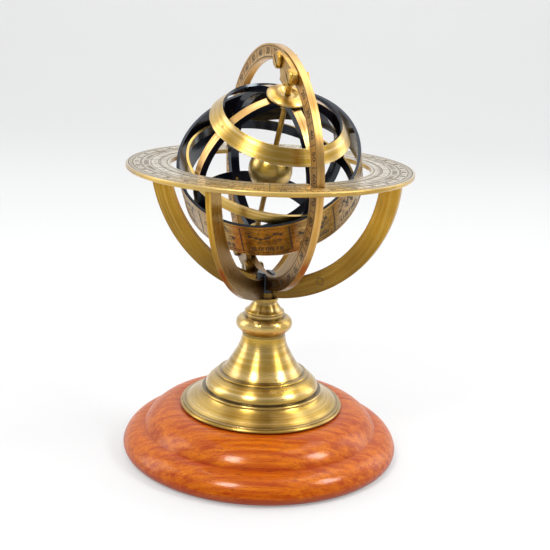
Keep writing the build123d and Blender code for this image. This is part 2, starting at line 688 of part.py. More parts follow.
with BuildPart() as pole_washers:
    for side in (1, -1):
        with BuildSketch(SPHERE.offset(side * POLE_WASHER_REACH)) as washer:
            Circle(POLE_WASHER_R)
            Circle(POLE_HOLE_R, mode=Mode.SUBTRACT)
        extrude(washer.sketch, amount=-side * POLE_WASHER_T)
finish(pole_washers.part, "pole_washers")

with BuildPart() as band_rivets:
    stud(EQUATOR_RIVETS, RIVET_R, COLURE_BORE_R, BAND_R - RIVET_SINK)
    stud(NORTH_RIVETS + SOUTH_RIVETS, RIVET_R, COLURE_BORE_R, TROPIC_REACH - RIVET_SINK)
finish(band_rivets.part, "band_rivets")

SHOULDER_END = sqrt(ZODIAC_BORE_R**2 - SHOULDER_R**2)

with BuildPart() as zodiac_rivets:
    stud(ZODIAC_RIVETS, RIVET_R, COLURE_BORE_R, ZODIAC_R - RIVET_SINK)
    stud(ZODIAC_RIVETS, SHOULDER_R, COLURE_R, SHOULDER_END)
finish(zodiac_rivets.part, "zodiac_rivets")
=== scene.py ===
import json
import random
from math import cos, degrees, pi, radians, sin

import bpy
from mathutils import Matrix, Vector


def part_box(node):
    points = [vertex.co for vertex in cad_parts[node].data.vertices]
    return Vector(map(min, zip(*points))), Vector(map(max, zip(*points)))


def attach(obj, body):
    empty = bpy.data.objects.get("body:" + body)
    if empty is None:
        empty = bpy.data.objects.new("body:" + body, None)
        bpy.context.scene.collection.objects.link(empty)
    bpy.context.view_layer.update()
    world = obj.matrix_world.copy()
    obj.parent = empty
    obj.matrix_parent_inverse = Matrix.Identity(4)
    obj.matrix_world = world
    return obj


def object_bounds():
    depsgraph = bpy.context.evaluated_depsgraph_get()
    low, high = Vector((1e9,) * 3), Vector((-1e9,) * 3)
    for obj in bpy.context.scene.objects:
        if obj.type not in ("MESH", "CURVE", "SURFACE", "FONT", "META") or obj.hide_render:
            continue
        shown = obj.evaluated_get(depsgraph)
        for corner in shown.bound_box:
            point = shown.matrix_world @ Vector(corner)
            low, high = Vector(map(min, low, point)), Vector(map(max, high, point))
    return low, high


# The looks of a brass armillary sphere: materials, engraving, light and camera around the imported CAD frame.
# Blender works in metres; lengths below are in millimetres and go through MM.

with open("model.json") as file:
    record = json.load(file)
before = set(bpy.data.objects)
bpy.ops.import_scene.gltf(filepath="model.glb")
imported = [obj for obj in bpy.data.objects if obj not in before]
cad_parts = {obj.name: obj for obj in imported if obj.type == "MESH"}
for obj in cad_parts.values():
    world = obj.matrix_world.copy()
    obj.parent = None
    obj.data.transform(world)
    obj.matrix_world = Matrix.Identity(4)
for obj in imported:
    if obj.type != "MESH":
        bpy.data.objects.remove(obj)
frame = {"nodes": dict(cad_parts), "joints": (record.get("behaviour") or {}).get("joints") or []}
cad_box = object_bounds()
nodes = frame["nodes"]

MM = 0.001

# ---- frames of the sphere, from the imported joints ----

JOINTS = {joint["name"]: joint for joint in frame["joints"]}
CENTRE = Vector(JOINTS["sphere_spin"]["pos_m"])
POLE = Vector(JOINTS["sphere_spin"]["axis"]).normalized()
MERIDIAN_NORMAL = -Vector(JOINTS["meridian_tilt"]["axis"]).normalized()
UP = Vector((0, 0, 1))
MERIDIAN_ALONG = UP.cross(MERIDIAN_NORMAL)
FRONT = POLE.cross(MERIDIAN_NORMAL)
POLE_ANGLE = 65.5           # the pole, in the meridian's plane, from its level direction
ZODIAC_LEAN = 23.5
ZODIAC_LON = -66.0
COLURE_LONS = {"colure_a": 9.0, "colure_b": 99.0}
ARM_AZIMUTHS = {"cradle_arm_a": -23.5, "cradle_arm_b": -113.5}
HUB_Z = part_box("cradle_arm_a")[0].z


def sphere_direction(latitude, longitude):
    """The direction of a point on the sphere, from its centre."""
    side = FRONT * cos(radians(longitude)) + POLE.cross(FRONT) * sin(radians(longitude))
    return side * cos(radians(latitude)) + POLE * sin(radians(latitude))


ZODIAC_AXIS = sphere_direction(90 - ZODIAC_LEAN, ZODIAC_LON)
ZODIAC_ALONG = POLE.cross(ZODIAC_AXIS).normalized()


class Turning:
    """An axis that a piece is round about: its centre and three square directions, the last one the axis."""

    def __init__(self, centre, along, axis):
        self.centre = Vector(centre)
        self.axis = Vector(axis).normalized()
        self.along = (along - self.axis * self.axis.dot(along)).normalized()
        self.across = self.axis.cross(self.along)

    def point(self, angle, reach, height):
        """A point at an angle in degrees, a distance from the axis and a height along it."""
        turn = radians(angle)
        return self.centre + (self.along * cos(turn) + self.across * sin(turn)) * reach + self.axis * height


LATHE = Turning((0, 0, 0), Vector((1, 0, 0)), UP)
MERIDIAN = Turning(CENTRE, MERIDIAN_ALONG, MERIDIAN_NORMAL)
SPHERE = Turning(CENTRE, FRONT, POLE)
ZODIAC = Turning(CENTRE, ZODIAC_ALONG, ZODIAC_AXIS)


def upright_turning(azimuth, centre):
    """The turning of a hoop or arm that stands upright at an azimuth."""
    along = Vector((cos(radians(azimuth)), sin(radians(azimuth)), 0))
    return Turning(centre, along, along.cross(UP))


# ---- node trees ----


class Graph:
    """A material's node tree, with short calls to add nodes."""

    def __init__(self, name):
        self.material = bpy.data.materials.new(name)
        self.material.use_nodes = True
        self.tree = self.material.node_tree
        self.tree.nodes.clear()

    def add(self, kind, inputs=None, **settings):
        """Adds a node; an input is a value or another node's output socket."""
        node = self.tree.nodes.new("ShaderNode" + kind)
        for name, value in settings.items():
            setattr(node, name, value)
        for name, value in (inputs or {}).items():
            if isinstance(value, bpy.types.NodeSocket):
                self.tree.links.new(value, node.inputs[name])
            else:
                node.inputs[name].default_value = value
        return node

    def math(self, operation, a, b=0.0):
        return self.add("Math", {0: a, 1: b}, operation=operation).outputs[0]

    def vector_math(self, operation, a, b, output=0):
        return self.add("VectorMath", {0: a, 1: b}, operation=operation).outputs[output]

    def place(self):
        """A piece's own coordinates, in metres."""
        return self.add("TexCoord").outputs["Object"]

    def noise(self, vector, scale, detail=3.0, roughness=0.55, distortion=0.0):
        inputs = {
            "Vector": vector,
            "Scale": scale,
            "Detail": detail,
            "Roughness": roughness,
            "Distortion": distortion,
        }
        return self.add("TexNoise", inputs).outputs["Fac"]

    def between(self, value, low, high, out_low=0.0, out_high=1.0):
        """Maps low..high to out_low..out_high and stops at the ends."""
        inputs = {"Value": value, 1: low, 2: high, 3: out_low, 4: out_high}
        return self.add("MapRange", inputs).outputs["Result"]

    def mix(self, factor, a, b):
        """Blends two colours: a factor of 0 gives the first one."""
        node = self.add("Mix", data_type="RGBA")
        for socket, value in ((0, factor), (6, a), (7, b)):
            if isinstance(value, bpy.types.NodeSocket):
                self.tree.links.new(value, node.inputs[socket])
            elif socket == 0:
                node.inputs[socket].default_value = value
            else:
                node.inputs[socket].default_value = (*value, 1.0)
        return node.outputs[2]

    def bump(self, height, strength, distance, normal=None):
        inputs = {"Height": height, "Strength": strength, "Distance": distance}
        if normal is not None:
            inputs["Normal"] = normal
        return self.add("Bump", inputs).outputs["Normal"]

    def soft_edges(self, radius):
        """A normal that rounds the sharp edges of the mesh."""
        return self.add("Bevel", {"Radius": radius}, samples=4).outputs["Normal"]

    def worn_edges(self, soft_normal):
        """1 where the rounding of an edge turns the normal, 0 on flat faces."""
        flat_normal = self.add("NewGeometry").outputs["Normal"]
        agreement = self.vector_math("DOT_PRODUCT", soft_normal, flat_normal, "Value")
        return self.between(agreement, 0.80, 0.985, 1.0, 0.0)

    def hollows(self, reach):
        """0 in tight corners and grooves, 1 on open faces."""
        return self.add("AmbientOcclusion", {"Distance": reach}, samples=6).outputs["AO"]

    def round_places(self, turning):
        """Height along a turning's axis, distance from it, and the unit direction to it, as sockets."""
        offset = self.vector_math("SUBTRACT", self.place(), turning.centre)
        x = self.vector_math("DOT_PRODUCT", offset, turning.along, "Value")
        y = self.vector_math("DOT_PRODUCT", offset, turning.across, "Value")
        height = self.vector_math("DOT_PRODUCT", offset, turning.axis, "Value")
        flat = self.add("CombineXYZ", {"X": x, "Y": y}).outputs[0]
        reach = self.vector_math("LENGTH", flat, (0, 0, 0), "Value")
        unit = self.vector_math("NORMALIZE", flat, (0, 0, 0))
        return height, reach, unit

    def brush_lines(self, turning, fineness, run):
        """Fine lines that run round a turning's axis: fineness is lines per metre, run how soon one fades."""
        height, reach, unit = self.round_places(turning)
        around = self.add("SeparateXYZ", {0: unit})
        vector = self.add("CombineXYZ", {
            "X": self.math("MULTIPLY", around.outputs[0], run),
            "Y": self.math("MULTIPLY", around.outputs[1], run),
            "Z": self.math("MULTIPLY", height, fineness),
        }).outputs[0]
        inputs = {
            "Vector": vector,
            "W": self.math("MULTIPLY", reach, fineness),
            "Scale": 1.0,
            "Detail": 2.5,
            "Roughness": 0.6,
        }
        return self.add("TexNoise", inputs, noise_dimensions="4D").outputs["Fac"]

    def line_tangent(self, turning):
        """The direction that brush lines run in, round a turning's axis."""
        offset = self.vector_math("SUBTRACT", self.place(), turning.centre)
        around = self.vector_math("CROSS_PRODUCT", tuple(turning.axis), offset)
        unit = self.vector_math("NORMALIZE", around, (0, 0, 0))
        spaces = {"convert_from": "OBJECT", "convert_to": "WORLD"}
        return self.add("VectorTransform", {0: unit}, vector_type="VECTOR", **spaces).outputs[0]

    def finish(self, inputs):
        """Adds the shader with these inputs and the output."""
        shader = self.add("BsdfPrincipled", inputs)
        output = self.add("OutputMaterial")
        self.tree.links.new(shader.outputs[0], output.inputs["Surface"])
        return self.material


# ---- materials ----

# Each finish of brass: its dull, usual and bright colour.
POLISHED = ((0.24, 0.125, 0.003), (0.66, 0.412, 0.058), (0.95, 0.740, 0.370))
OCHRE = ((0.21, 0.095, 0.002), (0.50, 0.260, 0.013), (0.78, 0.510, 0.110))
TAN = ((0.31, 0.140, 0.010), (0.63, 0.345, 0.075), (0.90, 0.620, 0.290))
# pale silvery tones for the horizon ring's top: a painted reflection of the white backdrop
BACKDROP_SHEEN = ((0.46, 0.37, 0.23), (0.72, 0.64, 0.49), (0.92, 0.87, 0.75))
PATINA = (0.048, 0.029, 0.003)
# brown of the painted shade low on the stand, near the hub
SHADE_UMBER = (0.120, 0.060, 0.003)
LACQUER = (0.0035, 0.0045, 0.0090)

EDGE_WEAR = 0.6             # how much of the bright colour shows on worn edges
EDGE_ROUND = 0.35           # rounding of the brass edges, in millimetres
PATINA_SHADE_REACH = 2.4           # how far from a corner the patina and painted shade reach, in millimetres
LOW_SHADE_START = 4.0         # height above the hub where the painted shade starts to fade, in millimetres
ACROSS_LINES = 0.25         # a quarter turn: highlights stretch across the brush lines


def brass(name, turning, tones=POLISHED, gloss=0.30, fineness=2200, run=1.6,
          anisotropic=0.6, patina_shade=1.0, low_shade=0.0, low_shade_reach=42.0, coat=0.6, painted=None):
    """Antique brass, brushed round a turning's axis, with dull blotches, hollows darkened by patina and
    painted shade, and bright worn edges.

    The tarnish argument is painted shade: how much darker brown it is near the hub; it fades out over
    low_shade_reach millimetres above it. Painted changes the colour before the hollows are darkened."""
    graph = Graph(name)
    place = graph.place()
    lines = graph.brush_lines(turning, fineness, run)
    streaks = graph.brush_lines(turning, fineness * 0.3, run * 0.7)
    blotches = graph.noise(place, scale=48.0, detail=3.0, roughness=0.55)
    specks = graph.noise(place, scale=900.0, detail=2.0, roughness=0.5)
    deep, mid, pale = tones
    base = graph.mix(graph.between(blotches, 0.40, 0.66, 0.0, 0.60), mid, deep)
    base = graph.mix(graph.between(streaks, 0.42, 0.68, 0.0, 0.60), base, pale)
    base = graph.mix(graph.between(lines, 0.30, 0.72, 0.0, 0.42), base, deep)
    if painted is not None:
        base = painted(graph, base)
    # painted shade: darker brown towards the hub, low on the stand
    if low_shade:
        height = graph.add("SeparateXYZ", {0: place}).outputs[2]
        low_shade_mask = graph.between(height, HUB_Z + LOW_SHADE_START * MM, HUB_Z + low_shade_reach * MM,
                                 low_shade, 0.0)
        base = graph.mix(low_shade_mask, base, SHADE_UMBER)
    normal = graph.soft_edges(EDGE_ROUND * MM)
    base = graph.mix(graph.math("MULTIPLY", graph.worn_edges(normal), EDGE_WEAR), base, pale)
    # patina in the hollows of the brass, and painted shade where parts crowd each other: both from ambient
    # occlusion
    open_face = graph.hollows(PATINA_SHADE_REACH * MM)
    patina_and_shade = graph.between(open_face, 0.45, 0.92, 0.88 * patina_shade, 0.0)
    base = graph.mix(patina_and_shade, base, PATINA)
    spots = graph.between(specks, 0.70, 0.80, 0.0, 0.35)
    base = graph.mix(spots, base, PATINA)
    roughness = graph.math("ADD", graph.between(lines, 0.25, 0.75, gloss - 0.06, gloss + 0.08),
                           graph.between(blotches, 0.3, 0.7, -0.03, 0.08))
    normal = graph.bump(lines, 0.16, 0.03 * MM, normal)
    return graph.finish({
        "Base Color": base,
        "Metallic": 1.0,
        "Roughness": roughness,
        "Anisotropic": anisotropic,
        "Anisotropic Rotation": ACROSS_LINES,
        "Tangent": graph.line_tangent(turning),
        "Coat Weight": coat,
        "Coat Roughness": 0.24,
        "Normal": normal,
    })


def lacquer():
    """Black glossy lacquer with a blue cast, a little uneven, thin on its edges."""
    graph = Graph("black_lacquer")
    place = graph.place()
    ripple = graph.noise(place, scale=260.0, detail=2.0, roughness=0.5)
    haze = graph.noise(place, scale=70.0, detail=4.0, roughness=0.6)
    base = graph.mix(graph.between(haze, 0.4, 0.7), LACQUER, (0.010, 0.007, 0.008))
    normal = graph.bump(ripple, 0.10, 0.10 * MM, graph.soft_edges(0.15 * MM))
    return graph.finish({
        "Base Color": base,
        "Roughness": graph.between(haze, 0.3, 0.7, 0.10, 0.22),
        "Specular IOR Level": 0.30,
        "Specular Tint": (0.70, 0.85, 1.0, 1.0),
        "Coat Weight": 0.12,
        "Coat Roughness": 0.06,
        "Normal": normal,
    })


def engraving_fill():
    """The dark paste left in engraved lines."""
    graph = Graph("engraving_fill")
    grain = graph.noise(graph.place(), scale=1500.0, detail=2.0, roughness=0.6)
    base = graph.mix(graph.between(grain, 0.35, 0.7), (0.022, 0.013, 0.006), (0.085, 0.052, 0.022))
    return graph.finish({
        "Base Color": base,
        "Metallic": 0.35,
        "Roughness": graph.between(grain, 0.3, 0.7, 0.45, 0.7),
    })


def mahogany():
    """Orange-red stained hardwood: long streaks of grain, short pores, and a gloss varnish over them."""
    graph = Graph("red_mahogany")
    place = graph.place()
    x, y, z = (graph.add("SeparateXYZ", {0: place}).outputs[i] for i in range(3))

    def stretched(along, square):
        return graph.add("CombineXYZ", {
            "X": graph.math("MULTIPLY", x, along),
            "Y": graph.math("MULTIPLY", y, square),
            "Z": graph.math("MULTIPLY", z, square),
        }).outputs[0]

    bands = graph.noise(stretched(10.0, 420.0), scale=1.0, detail=3.0, roughness=0.6, distortion=0.25)
    fibres = graph.noise(stretched(45.0, 1300.0), scale=1.0, detail=4.0, roughness=0.65, distortion=0.3)
    pores = graph.noise(stretched(260.0, 2600.0), scale=1.0, detail=2.0, roughness=0.5)
    base = graph.mix(graph.between(bands, 0.36, 0.60), (0.27, 0.022, 0.001), (0.54, 0.138, 0.002))
    base = graph.mix(graph.between(fibres, 0.34, 0.66, 0.0, 0.70), base, (0.37, 0.056, 0.001))
    base = graph.mix(graph.between(pores, 0.56, 0.68, 0.0, 0.75), base, (0.13, 0.010, 0.001))
    # painted shade: the wood darker red in its hollows, under the brass foot and in the groove between the
    # tiers
    shade = graph.between(graph.hollows(16.0 * MM), 0.45, 1.0, 0.75, 0.0)
    base = graph.mix(shade, base, (0.25, 0.014, 0.001))
    orange_peel = graph.noise(place, scale=420.0, detail=2.0, roughness=0.5)
    grain_normal = graph.bump(fibres, 0.12, 0.05 * MM)
    varnish_normal = graph.bump(pores, 0.10, 0.03 * MM, graph.bump(orange_peel, 0.08, 0.12 * MM))
    return graph.finish({
        "Base Color": base,
        "Roughness": graph.between(fibres, 0.3, 0.7, 0.30, 0.44),
        "Specular IOR Level": 0.45,
        "Specular Tint": (1.0, 0.40, 0.05, 1.0),
        "Normal": grain_normal,
        "Coat Weight": 0.14,
        "Coat IOR": 2.0,
        "Coat Roughness": 0.16,
        "Coat Normal": varnish_normal,
    })


def felt():
    """Short green wool felt."""
    graph = Graph("green_felt")
    place = graph.place()
    fibres = graph.noise(place, scale=2600.0, detail=4.0, roughness=0.7, distortion=1.5)
    clumps = graph.noise(place, scale=180.0, detail=3.0, roughness=0.6)
    base = graph.mix(fibres, (0.012, 0.050, 0.022), (0.050, 0.150, 0.072))
    base = graph.mix(graph.between(clumps, 0.3, 0.7, 0.0, 0.5), base, (0.022, 0.080, 0.038))
    return graph.finish({
        "Base Color": base,
        "Roughness": 0.95,
        "Sheen Weight": 0.4,
        "Sheen Roughness": 0.5,
        "Normal": graph.bump(fibres, 0.6, 0.25 * MM),
    })


def steel():
    """Zinc-plated steel of the hidden tie rod, nut and washer."""
    graph = Graph("plain_steel")
    place = graph.place()
    spangle = graph.noise(place, scale=320.0, detail=3.0, roughness=0.6)
    base = graph.mix(spangle, (0.36, 0.37, 0.39), (0.62, 0.63, 0.64))
    return graph.finish({
        "Base Color": base,
        "Metallic": 1.0,
        "Roughness": graph.between(spangle, 0.3, 0.7, 0.28, 0.45),
        "Normal": graph.bump(spangle, 0.1, 0.05 * MM, graph.soft_edges(0.2 * MM)),
    })


def clothe(node, *materials):
    """Gives a CAD node its materials; faces keep the first one."""
    mesh = nodes[node].data
    mesh.materials.clear()
    for material in materials:
        mesh.materials.append(material)
    for face in mesh.polygons:
        face.material_index = 0


def lacquer_inside(node, turning, dark_sides):
    """Puts the second material on a hoop's inner face, and on its sides too if they are dark."""
    limit = FACING_IN if dark_sides else -FACING_IN
    for face in nodes[node].data.polygons:
        offset = face.center - turning.centre
        outward = (offset - turning.axis * turning.axis.dot(offset)).normalized()
        if face.normal.dot(outward) < limit:
            face.material_index = 1


HORIZON_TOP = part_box("horizon_ring")[1].z
FACING_UP = 0.9             # a face whose normal rises more than this is part of the horizon ring's top
FACING_IN = 0.35            # a face whose normal leans in more than this is a hoop's inner face
ZODIAC_R = 40.4
ZODIAC_ETCHED_HALF = 8.4
# Height and half width in millimetres, and darkness, of each dark ring on the pedestal.
BELL_GROOVES = (
    (57.3, 0.8, 0.65),
    (39.0, 0.5, 0.70),
    (37.4, 0.4, 0.30),
    (31.3, 0.6, 0.75),
    (24.8, 0.25, 0.50),
)
BLACK = lacquer()
FILL = engraving_fill()


def zodiac_etching(graph, base):
    """A stippled dark ground between the zodiac band's two edge lines."""
    height, _reach, _unit = graph.round_places(ZODIAC)
    inside = graph.between(graph.math("ABSOLUTE", height), (ZODIAC_ETCHED_HALF - 0.2) * MM,
                           ZODIAC_ETCHED_HALF * MM, 1.0, 0.0)
    stipple = graph.noise(graph.place(), scale=900.0, detail=3.0, roughness=0.6, distortion=0.8)
    pattern = graph.between(stipple, 0.44, 0.60, 0.12, 0.55)
    return graph.mix(graph.math("MULTIPLY", inside, pattern), base, PATINA)


def blackened_grooves(graph, base):
    """Dark rings left in the lathe-cut grooves of the pedestal."""
    height, _reach, _unit = graph.round_places(LATHE)
    for groove, half_width, depth in BELL_GROOVES:
        away = graph.math("ABSOLUTE", graph.math("SUBTRACT", height, groove * MM))
        dark = graph.between(away, 0.4 * half_width * MM, half_width * MM, depth, 0.0)
        base = graph.mix(dark, base, PATINA)
    return base


def sheen_off_front(graph, base):
    """Painted reflection: the pale tones that stand for the white backdrop mirrored in the horizon ring's top
    are taken off its front, where the plain brass colour shows.
    """
    side = graph.add("SeparateXYZ", {0: graph.place()}).outputs[1]
    ragged_edge = graph.noise(graph.place(), scale=60.0, detail=3.0, roughness=0.6)
    edge = graph.math("ADD", side, graph.between(ragged_edge, 0.3, 0.7, -6 * MM, 6 * MM))
    unreflected_front = graph.between(edge, -54 * MM, -34 * MM, 0.85, 0.0)
    return graph.mix(unreflected_front, base, POLISHED[1])


def dress_frame():
    """Every CAD node gets its finish."""
    turned = brass("turned_brass", LATHE, gloss=0.27, fineness=1900, run=0.5, anisotropic=0.8,
                   painted=blackened_grooves)
    for node in ("pedestal_bell", "bead_collar", "neck_spool"):
        clothe(node, turned)
    rim = brass("horizon_brass", LATHE, run=1.0)
    # the top gets pale tones that paint in the white backdrop's reflection, except at the front
    top = brass("horizon_top_brass", LATHE, BACKDROP_SHEEN, gloss=0.33, run=1.0, painted=sheen_off_front)
    clothe("horizon_ring", rim, top)
    for face in nodes["horizon_ring"].data.polygons:
        if face.normal.z > FACING_UP:
            face.material_index = 1
    clothe("meridian_ring", brass("meridian_brass", MERIDIAN, TAN, run=1.2, low_shade=0.9, coat=0.3))
    for node, azimuth in ARM_AZIMUTHS.items():
        turning = upright_turning(azimuth, CENTRE)
        arm = brass(node + "_brass", turning, OCHRE, gloss=0.28, run=1.4, patina_shade=0.6, low_shade=0.9, coat=0.3)
        clothe(node, arm)
    for node, lon in COLURE_LONS.items():
        turning = Turning(CENTRE, POLE, sphere_direction(0, lon + 90))
        clothe(node, brass(node + "_brass", turning, TAN, gloss=0.28), BLACK)
        lacquer_inside(node, turning, dark_sides=True)
    band = brass("band_brass", SPHERE, gloss=0.26)
    for node in ("equator_band", "tropic_band_north", "tropic_band_south"):
        clothe(node, band, BLACK)
        lacquer_inside(node, SPHERE, dark_sides=False)
    clothe("zodiac_band", brass("zodiac_brass", ZODIAC, OCHRE, painted=zodiac_etching), BLACK)
    lacquer_inside("zodiac_band", ZODIAC, dark_sides=True)
    polar = brass("polar_brass", SPHERE, gloss=0.36, fineness=1800)
    for node in ("polar_disc_north", "polar_disc_south", "pole_washers"):
        clothe(node, polar)
    clothe("polar_rod", brass("rod_brass", SPHERE, OCHRE, run=0.8, low_shade=0.95, low_shade_reach=95.0))
    clothe("earth_ball", brass("ball_brass", SPHERE, gloss=0.33, fineness=1400))
    fixings = brass("fixing_brass", LATHE, OCHRE, gloss=0.34, fineness=900, low_shade=0.85)
    for node in ("north_bracket", "south_bracket", "bracket_screws", "bracket_nuts",
                 "band_rivets", "zodiac_rivets", "arm_screws"):
        clothe(node, fixings)
    clothe("meridian_fork", BLACK)
    clothe("wooden_base", mahogany())
    clothe("base_felt", felt())
    zinc = steel()
    for node in ("base_washer", "base_nut", "tie_rod"):
        clothe(node, zinc)


dress_frame()

# ---- engraving: thin dark inlays, a hair proud of the brass ----

INLAY_DEPTH = 0.05          # how far a mark reaches into the brass, in millimetres
INLAY_PROUD = 0.02          # how far it stands above the brass
LINE_STEP = 1.5             # degrees between the sections of a line round a turning
DOT_SIDES = 10
LINE_W = 0.30               # usual width of an engraved line, in millimetres
HAIR_W = 0.24               # width of the finest lines


FONT_SIZE = 1.35            # makes a digit about 1 unit tall
FONT_BOLDER = 0.035         # thickens the strokes of a digit


def glyph_meshes():
    """Makes and keeps the outlines of numbers, as (points, faces) in units of their height."""
    kept = {}

    def of(text):
        if text not in kept:
            curve = bpy.data.curves.new("glyph", "FONT")
            curve.body = text
            curve.size = FONT_SIZE
            curve.resolution_u = 3
            curve.align_x = "CENTER"
            curve.align_y = "CENTER"
            curve.extrude = 0.5
            curve.offset = FONT_BOLDER
            holder = bpy.data.objects.new("glyph", curve)
            bpy.context.scene.collection.objects.link(holder)
            bpy.context.view_layer.update()
            mesh = bpy.data.meshes.new_from_object(holder)
            points = [tuple(vertex.co) for vertex in mesh.vertices]
            kept[text] = (points, [tuple(face.vertices) for face in mesh.polygons])
            bpy.data.objects.remove(holder)
            bpy.data.meshes.remove(mesh)
            bpy.data.curves.remove(curve)
        return kept[text]

    return of


glyph = glyph_meshes()


class Engraving:
    """Marks on a face that is round about a turning: a flat face at a level, or the outside of a band.

    A place on it is an angle in degrees and a position in millimetres, which is the distance from the axis
    on a flat face and the height on a band. Numbers read along the angle, forwards or, with reading -1,
    backwards; their tops point to higher positions or, with up -1, to lower ones."""

    def __init__(self, name, turning, level, on_band, up=1, reading=1):
        self.name, self.turning, self.level, self.on_band = name, turning, level, on_band
        self.up, self.reading = up, reading
        self.points, self.faces = [], []

    def place(self, angle, position, raised):
        if self.on_band:
            return self.turning.point(angle, (self.level + raised) * MM, position * MM)
        return self.turning.point(angle, position * MM, (self.level + raised) * MM)

    def radius_at(self, position):
        return self.level if self.on_band else position

    def solid(self, sections, closed):
        """A strip from sections of four points, low inner, high inner, high outer, low outer."""
        start = len(self.points)
        for section in sections:
            self.points += section
        count = len(sections)
        for i in range(count if closed else count - 1):
            a, b = start + 4 * i, start + 4 * ((i + 1) % count)
            for k in range(4):
                m = (k + 1) % 4
                self.faces.append((a + k, a + m, b + m, b + k))
        if not closed:
            last = start + 4 * (count - 1)
            self.faces.append((start, start + 3, start + 2, start + 1))
            self.faces.append((last, last + 1, last + 2, last + 3))

    def section(self, angle, low, high):
        return [
            self.place(angle, low, -INLAY_DEPTH),
            self.place(angle, low, INLAY_PROUD),
            self.place(angle, high, INLAY_PROUD),
            self.place(angle, high, -INLAY_DEPTH),
        ]

    def line_round(self, position, width, start=0.0, stop=360.0):
        """A line round the turning at one position."""
        closed = stop - start > 359.9
        steps = max(2, int((stop - start) / LINE_STEP))
        count = steps if closed else steps + 1
        angles = [start + (stop - start) * i / steps for i in range(count)]
        low, high = position - width / 2, position + width / 2
        self.solid([self.section(angle, low, high) for angle in angles], closed)

    def stroke(self, angle_a, position_a, angle_b, position_b, width):
        """A straight line between two places."""
        radius = self.radius_at((position_a + position_b) / 2)
        run = radians(angle_b - angle_a) * radius
        rise = position_b - position_a
        length = max((run * run + rise * rise) ** 0.5, 1e-6)
        side_angle = degrees(-rise / length * width / 2 / radius)
        side_rise = run / length * width / 2
        sections = []
        for angle, position in ((angle_a, position_a), (angle_b, position_b)):
            near = (angle - side_angle, position - side_rise)
            far = (angle + side_angle, position + side_rise)
            sections.append([
                self.place(*near, -INLAY_DEPTH),
                self.place(*near, INLAY_PROUD),
                self.place(*far, INLAY_PROUD),
                self.place(*far, -INLAY_DEPTH),
            ])
        self.solid(sections, closed=False)

    def dot(self, angle, position, radius):
        """A small round dot."""
        around = self.radius_at(position)
        start = len(self.points)
        for raised in (-INLAY_DEPTH, INLAY_PROUD):
            for i in range(DOT_SIDES):
                turn = 2 * pi * i / DOT_SIDES
                at = angle + degrees(radius * cos(turn) / around)
                self.points.append(self.place(at, position + radius * sin(turn), raised))
        for i in range(DOT_SIDES):
            j = (i + 1) % DOT_SIDES
            self.faces.append((start + i, start + j, start + DOT_SIDES + j, start + DOT_SIDES + i))
        self.faces.append(tuple(range(start + DOT_SIDES - 1, start - 1, -1)))
        self.faces.append(tuple(range(start + DOT_SIDES, start + 2 * DOT_SIDES)))

    def text(self, words, angle, position, height):
        """Digits that read along the turning."""
        points, faces = glyph(words)
        around = self.radius_at(position)
        start = len(self.points)
        for x, y, z in points:
            raised = INLAY_PROUD if z > 0 else -INLAY_DEPTH
            at = angle + self.reading * degrees(x * height / around)
            self.points.append(self.place(at, position + self.up * y * height, raised))
        self.faces += [tuple(start + i for i in face) for face in faces]

    def build(self, body):
        """Makes the piece and lets it ride on a body."""
        mesh = bpy.data.meshes.new(self.name)
        mesh.from_pydata(self.points, [], self.faces)
        mesh.validate()
        mesh.materials.append(FILL)
        piece = bpy.data.objects.new(self.name, mesh)
        bpy.context.scene.collection.objects.link(piece)
        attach(piece, body)


def arcs_between(gaps):
    """The stretches of a circle left by gaps, each a middle angle and a half width in degrees."""
    ordered = sorted((middle % 360, half) for middle, half in gaps)
    spans = []
    for i, (middle, half) in enumerate(ordered):
        following, following_half = ordered[(i + 1) % len(ordered)]
        end = following - following_half + (360 if i == len(ordered) - 1 else 0)
        spans.append((middle + half, end))
    return spans


def clear_of(gaps, angle):
    """Whether an angle lies outside all gaps."""
    return all(abs((angle - middle + 180) % 360 - 180) > half for middle, half in gaps)


MERIDIAN_AZIMUTH = -68.0
NOTCH_HALF = 2.2            # half width that marks keep clear of the horizon ring's notches
NOTCH_REACH = 55.2          # distance from the axis that the notches reach to

# Circles on the horizon ring's top, by their distance from its axis. Rows of marks lie between them.
RIM_CIRCLE, TICK_CIRCLE, NUMBER_CIRCLE = 62.3, 60.4, 57.2
CALENDAR_CIRCLE, STAR_CIRCLE, STAR_INNER_CIRCLE = 56.6, 52.6, 49.2
COMB_CIRCLE, BORE_CIRCLE = 48.6, 45.6
HORIZON_CIRCLES = (
    (RIM_CIRCLE, LINE_W),
    (TICK_CIRCLE, LINE_W),
    (NUMBER_CIRCLE, LINE_W),
    (CALENDAR_CIRCLE, HAIR_W),
    (STAR_CIRCLE, LINE_W),
    (STAR_INNER_CIRCLE, LINE_W),
    (COMB_CIRCLE, HAIR_W),
    (BORE_CIRCLE, LINE_W),
)
COMB_TOOTH = 1.2            # length of the short ticks inside the comb circle
HORIZON_NUMBER_HEIGHT = 2.1
CELLS = 24                  # calendar cells round the ring
RAYS = 32                   # lines that cross the star row


